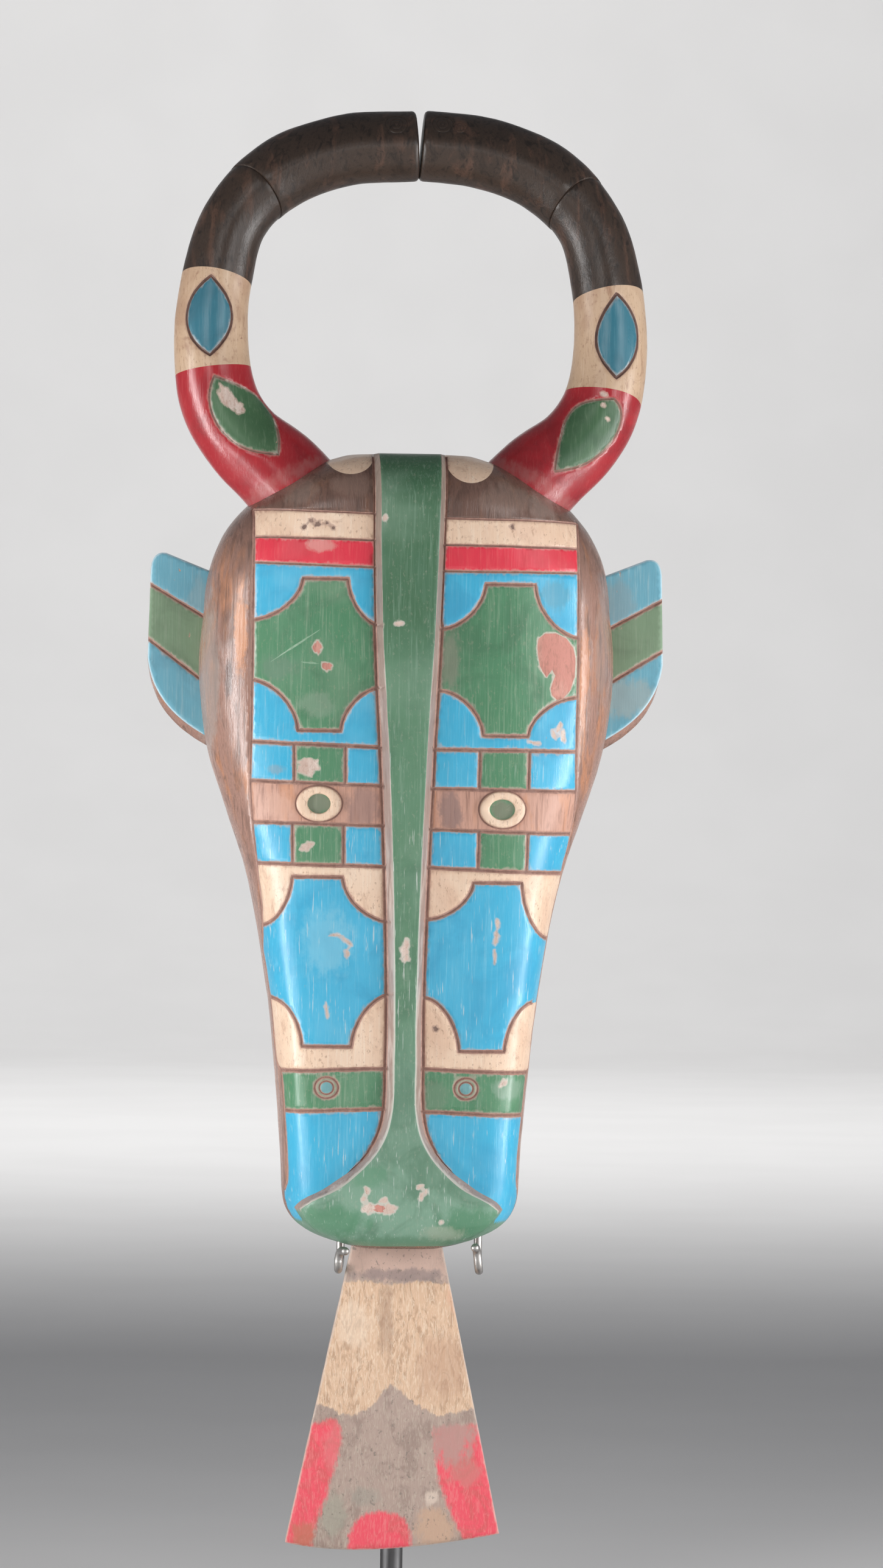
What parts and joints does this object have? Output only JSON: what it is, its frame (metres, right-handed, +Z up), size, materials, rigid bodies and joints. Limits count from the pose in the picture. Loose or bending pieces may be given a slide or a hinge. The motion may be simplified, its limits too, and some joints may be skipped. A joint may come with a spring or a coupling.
{
  "type": "carved cow mask on a display stand",
  "caption": "Painted wooden cow mask with horns curved into a near-closed ring, side ears, a nose ridge, a hanging tongue board and a hollow back, held upright on a steel display stand.",
  "frame": {"origin": "on the floor, under the middle of the foot plate", "axes": "+Z up, the painted face looks along -Y, +X to the viewer's right"},
  "size_m": [0.365, 0.24, 1.0844],
  "materials": {
    "painted_wood": "worn paint in blue, green, cream and red on carved wood",
    "tongue_wood": "worn cream and red paint on bare wood",
    "stand_rod": "brushed round bar",
    "stand_plate": "brushed plate"
  },
  "bodies": {
    "root": {"mask": "painted_wood", "tongue": "tongue_wood", "stand_cradle": "stand_rod", "stand_foot": "stand_plate"}
  },
  "joints": []
}
